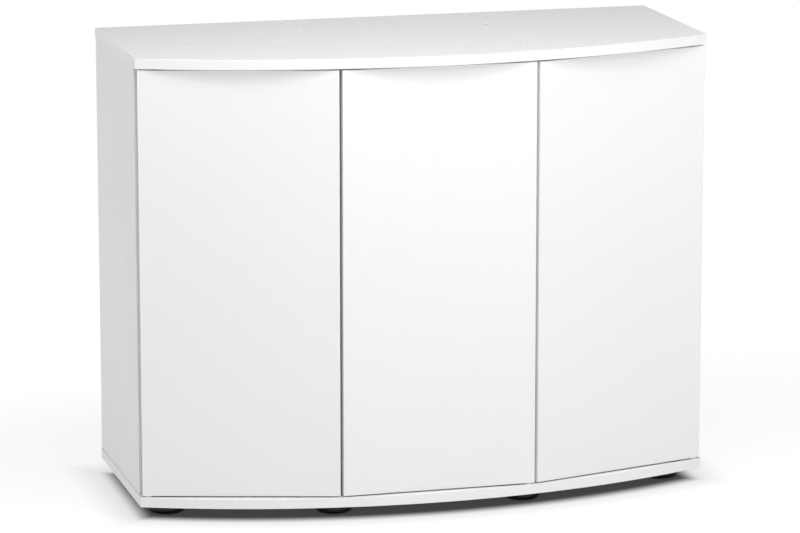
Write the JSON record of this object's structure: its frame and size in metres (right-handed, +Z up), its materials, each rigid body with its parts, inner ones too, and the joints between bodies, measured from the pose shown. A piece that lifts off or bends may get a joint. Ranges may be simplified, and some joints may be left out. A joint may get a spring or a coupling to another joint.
{
  "type": "aquarium stand cabinet",
  "caption": "Bow-front white cabinet that carries an aquarium, with flat handle-less doors on pivots, shelves, hose notches and low round feet.",
  "frame": {"origin": "on the floor, at the middle of the bounding box in X and Y", "axes": "+Z up, doors towards -Y, +X to the right as seen from the front"},
  "size_m": [0.92, 0.4099, 0.73],
  "materials": {
    "white_board": "white melamine-faced board, fine satin",
    "edge_band": "white plastic edge band, satin",
    "foot_plastic": "black moulded plastic, satin",
    "trim_plastic": "black flexible plastic trim",
    "latch_plastic": "light grey moulded plastic",
    "latch_plunger": "pale grey moulded plastic",
    "magnet": "dark plated magnet head",
    "plated_steel": "zinc-plated steel",
    "bush_plastic": "natural nylon",
    "connector_steel": "zinc-plated steel",
    "screw_steel": "zinc-plated steel",
    "beech": "raw beech"
  },
  "bodies": {
    "carcass": {"back_feet": "foot_plastic", "back_panel": "white_board", "bottom_edge_band": "edge_band", "bottom_panel": "white_board", "bottom_screws": "connector_steel", "dowels": "beech", "foot_screws": "screw_steel", "front_feet": "foot_plastic", "latch_screws": "screw_steel", "left_latch_housing": "latch_plastic", "left_lower_pivot": "plated_steel", "left_notch_trim": "trim_plastic", "left_partition": "white_board", "left_partition_edge_band": "edge_band", "left_shelf": "white_board", "left_shelf_edge_band": "edge_band", "left_side_edge_band": "edge_band", "left_side_panel": "white_board", "left_upper_pivot": "plated_steel", "middle_latch_housing": "latch_plastic", "middle_lower_pivot": "plated_steel", "middle_upper_pivot": "plated_steel", "pivot_screws": "screw_steel", "right_latch_housing": "latch_plastic", "right_lower_pivot": "plated_steel", "right_notch_trim": "trim_plastic", "right_partition": "white_board", "right_partition_edge_band": "edge_band", "right_shelf": "white_board", "right_shelf_edge_band": "edge_band", "right_side_edge_band": "edge_band", "right_side_panel": "white_board", "right_upper_pivot": "plated_steel", "shelf_pins": "plated_steel", "thrust_washers": "bush_plastic", "top_edge_band": "edge_band", "top_panel": "white_board", "top_screws": "connector_steel"},
    "left_door_leaf": {"left_door": "white_board", "left_door_bushes": "bush_plastic", "left_door_edge_band": "edge_band", "left_strike_plate": "plated_steel", "left_strike_screw": "screw_steel"},
    "left_plunger": {"left_latch_magnet": "magnet", "left_latch_plunger": "latch_plunger"},
    "middle_door_leaf": {"middle_door": "white_board", "middle_door_bushes": "bush_plastic", "middle_door_edge_band": "edge_band", "middle_strike_plate": "plated_steel", "middle_strike_screw": "screw_steel"},
    "middle_plunger": {"middle_latch_magnet": "magnet", "middle_latch_plunger": "latch_plunger"},
    "right_door_leaf": {"right_door": "white_board", "right_door_bushes": "bush_plastic", "right_door_edge_band": "edge_band", "right_strike_plate": "plated_steel", "right_strike_screw": "screw_steel"},
    "right_plunger": {"right_latch_magnet": "magnet", "right_latch_plunger": "latch_plunger"}
  },
  "joints": [
    {"name": "left_door_hinge", "type": "hinge", "parent": "carcass", "child": "left_door_leaf", "pos_m": [-0.44696, -0.10738, 0.3755], "axis": [0, 0, -1], "range_deg": [0, 100]},
    {"name": "left_latch_slide", "type": "slide", "parent": "carcass", "child": "left_plunger", "axis": [-0.2657, -0.964, 0], "range_m": [0, 0.0205]},
    {"name": "middle_door_hinge", "type": "hinge", "parent": "carcass", "child": "middle_door_leaf", "pos_m": [0.1461, -0.18739, 0.3755], "axis": [0, 0, 1], "range_deg": [0, 90]},
    {"name": "middle_latch_slide", "type": "slide", "parent": "carcass", "child": "middle_plunger", "axis": [0, -1, 0], "range_m": [0, 0.0205]},
    {"name": "right_door_hinge", "type": "hinge", "parent": "carcass", "child": "right_door_leaf", "pos_m": [0.44696, -0.10738, 0.3755], "axis": [0, 0, 1], "range_deg": [0, 100]},
    {"name": "right_latch_slide", "type": "slide", "parent": "carcass", "child": "right_plunger", "axis": [0.2657, -0.964, 0], "range_m": [0, 0.0205]}
  ],
  "couplings": [
    {"joint": "left_latch_slide", "follows": "left_door_hinge", "m_per_rad": 0.011459},
    {"joint": "middle_latch_slide", "follows": "middle_door_hinge", "m_per_rad": 0.012732},
    {"joint": "right_latch_slide", "follows": "right_door_hinge", "m_per_rad": 0.011459}
  ]
}
